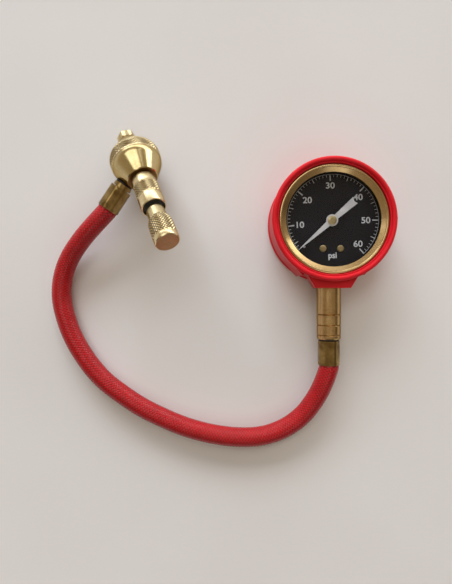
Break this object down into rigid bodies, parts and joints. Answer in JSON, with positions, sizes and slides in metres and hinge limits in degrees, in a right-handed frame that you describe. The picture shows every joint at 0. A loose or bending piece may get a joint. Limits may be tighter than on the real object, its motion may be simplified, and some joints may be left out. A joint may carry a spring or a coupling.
{
  "type": "tyre deflator",
  "caption": "Tyre deflator: a brass valve-core pressure head with swivel nut, vent sleeve and sliding rod, a braided hose, and a bourdon-tube gauge in a rubber boot.",
  "frame": {"origin": "centre of the gauge boot's flat back, on the surface that the object lies on", "axes": "+Z out of the dial, +Y towards 12 o'clock on the dial with the stem leaving along -Y, +X towards 3 o'clock with the pressure head lying on the -X side"},
  "size_m": [0.22, 0.2096, 0.0587],
  "materials": {
    "red_rubber": "moulded, slightly glossy",
    "hose_braid": "glossy woven braid",
    "bright_brass": "machined, lightly lacquered",
    "crimped_brass": "crimped, satin",
    "plain_brass": "as machined",
    "bronze_tube": "drawn tube",
    "dial_black": "satin black with white marks",
    "pointer_silver": "satin",
    "clear_window": "clear",
    "black_rubber": "matt",
    "black_plastic": "satin",
    "steel": "bright",
    "bright_rod": "polished"
  },
  "bodies": {
    "gauge_hose_and_head": {"boot": "red_rubber", "case": "plain_brass", "case_screws": "steel", "bezel": "bright_brass", "lens": "clear_window", "lens_gasket": "black_rubber", "dial": "dial_black", "dial_spacers": "plain_brass", "dial_screws": "plain_brass", "stop_pin": "steel", "bourdon_tube": "bronze_tube", "hairspring": "steel", "spring_stud": "plain_brass", "back_plate": "plain_brass", "front_plate": "plain_brass", "plate_pillars": "plain_brass", "plate_screws": "steel", "movement_screws": "steel", "socket": "plain_brass", "restrictor": "plain_brass", "gauge_adapter": "bright_brass", "gauge_barb": "plain_brass", "gauge_ferrule": "crimped_brass", "gauge_oring": "black_rubber", "hose": "hose_braid", "head_ferrule": "crimped_brass", "head_barb": "plain_brass", "port_oring": "black_rubber", "valve_body": "bright_brass", "swivel_oring": "black_rubber", "snap_ring": "steel", "barrel": "bright_brass", "sleeve_orings": "black_rubber", "sleeve_stop_ring": "steel", "rod_gland": "black_plastic", "rod_oring": "black_rubber"},
    "swivel_nut": {"swivel_nut": "bright_brass", "valve_gasket": "black_rubber"},
    "vent_sleeve": {"slide_sleeve": "bright_brass"},
    "rod_ring": {"rod_stop_ring": "steel"},
    "core_tool": {"core_rod": "bright_rod", "core_socket": "plain_brass", "core_grip_ring": "black_rubber", "knob": "bright_brass"},
    "sector": {"sector_gear": "plain_brass", "sector_shaft": "steel", "sector_link_pin": "steel"},
    "pointer": {"pinion_arbor": "plain_brass", "pointer": "pointer_silver", "pointer_hub": "plain_brass"},
    "tube_tip": {"tube_tip": "plain_brass", "tip_link_pin": "steel"},
    "link": {"link": "plain_brass"}
  },
  "joints": [
    {"name": "nut_spin", "type": "hinge", "parent": "gauge_hose_and_head", "child": "swivel_nut", "pos_m": [-0.1332, 0.0591, 0.0046], "axis": [0.355, -0.7899, 0.5], "continuous": true},
    {"name": "sleeve_slide", "type": "slide", "parent": "gauge_hose_and_head", "child": "vent_sleeve", "axis": [0.355, -0.7899, 0.5], "range_m": [0, 0.007]},
    {"name": "tool_slide", "type": "slide", "parent": "gauge_hose_and_head", "child": "rod_ring", "axis": [0.355, -0.7899, 0.5], "range_m": [-0.0029, 0.021]},
    {"name": "tool_turn", "type": "hinge", "parent": "rod_ring", "child": "core_tool", "pos_m": [-0.10835, 0.00381, 0.0396], "axis": [0.355, -0.7899, 0.5], "continuous": true},
    {"name": "sector_turn", "type": "hinge", "parent": "gauge_hose_and_head", "child": "sector", "pos_m": [0, -0.0162, 0.0139], "axis": [0, 0, 1], "range_deg": [0, 33.6], "stiffness_Nm_per_rad": 0.001},
    {"name": "pointer_turn", "type": "hinge", "parent": "gauge_hose_and_head", "child": "pointer", "pos_m": [0, 0, 0.0139], "axis": [0, 0, -1], "range_deg": [0, 268.8], "deforming": ["hairspring"]},
    {"name": "tip_lift", "type": "slide", "parent": "gauge_hose_and_head", "child": "tube_tip", "axis": [0.3696, 0.9292, 0], "range_m": [0, 0.0042], "deforming": ["bourdon_tube"]},
    {"name": "link_swing", "type": "hinge", "parent": "tube_tip", "child": "link", "pos_m": [0.01954, -0.0077, 0.0153], "axis": [0, 0, 1], "range_deg": [0, 5.6]}
  ],
  "couplings": [
    {"joint": "pointer_turn", "follows": "sector_turn", "ratio": 8},
    {"joint": "tip_lift", "follows": "sector_turn", "m_per_rad": 0.0070693},
    {"joint": "link_swing", "follows": "sector_turn", "ratio": 0.16589}
  ]
}
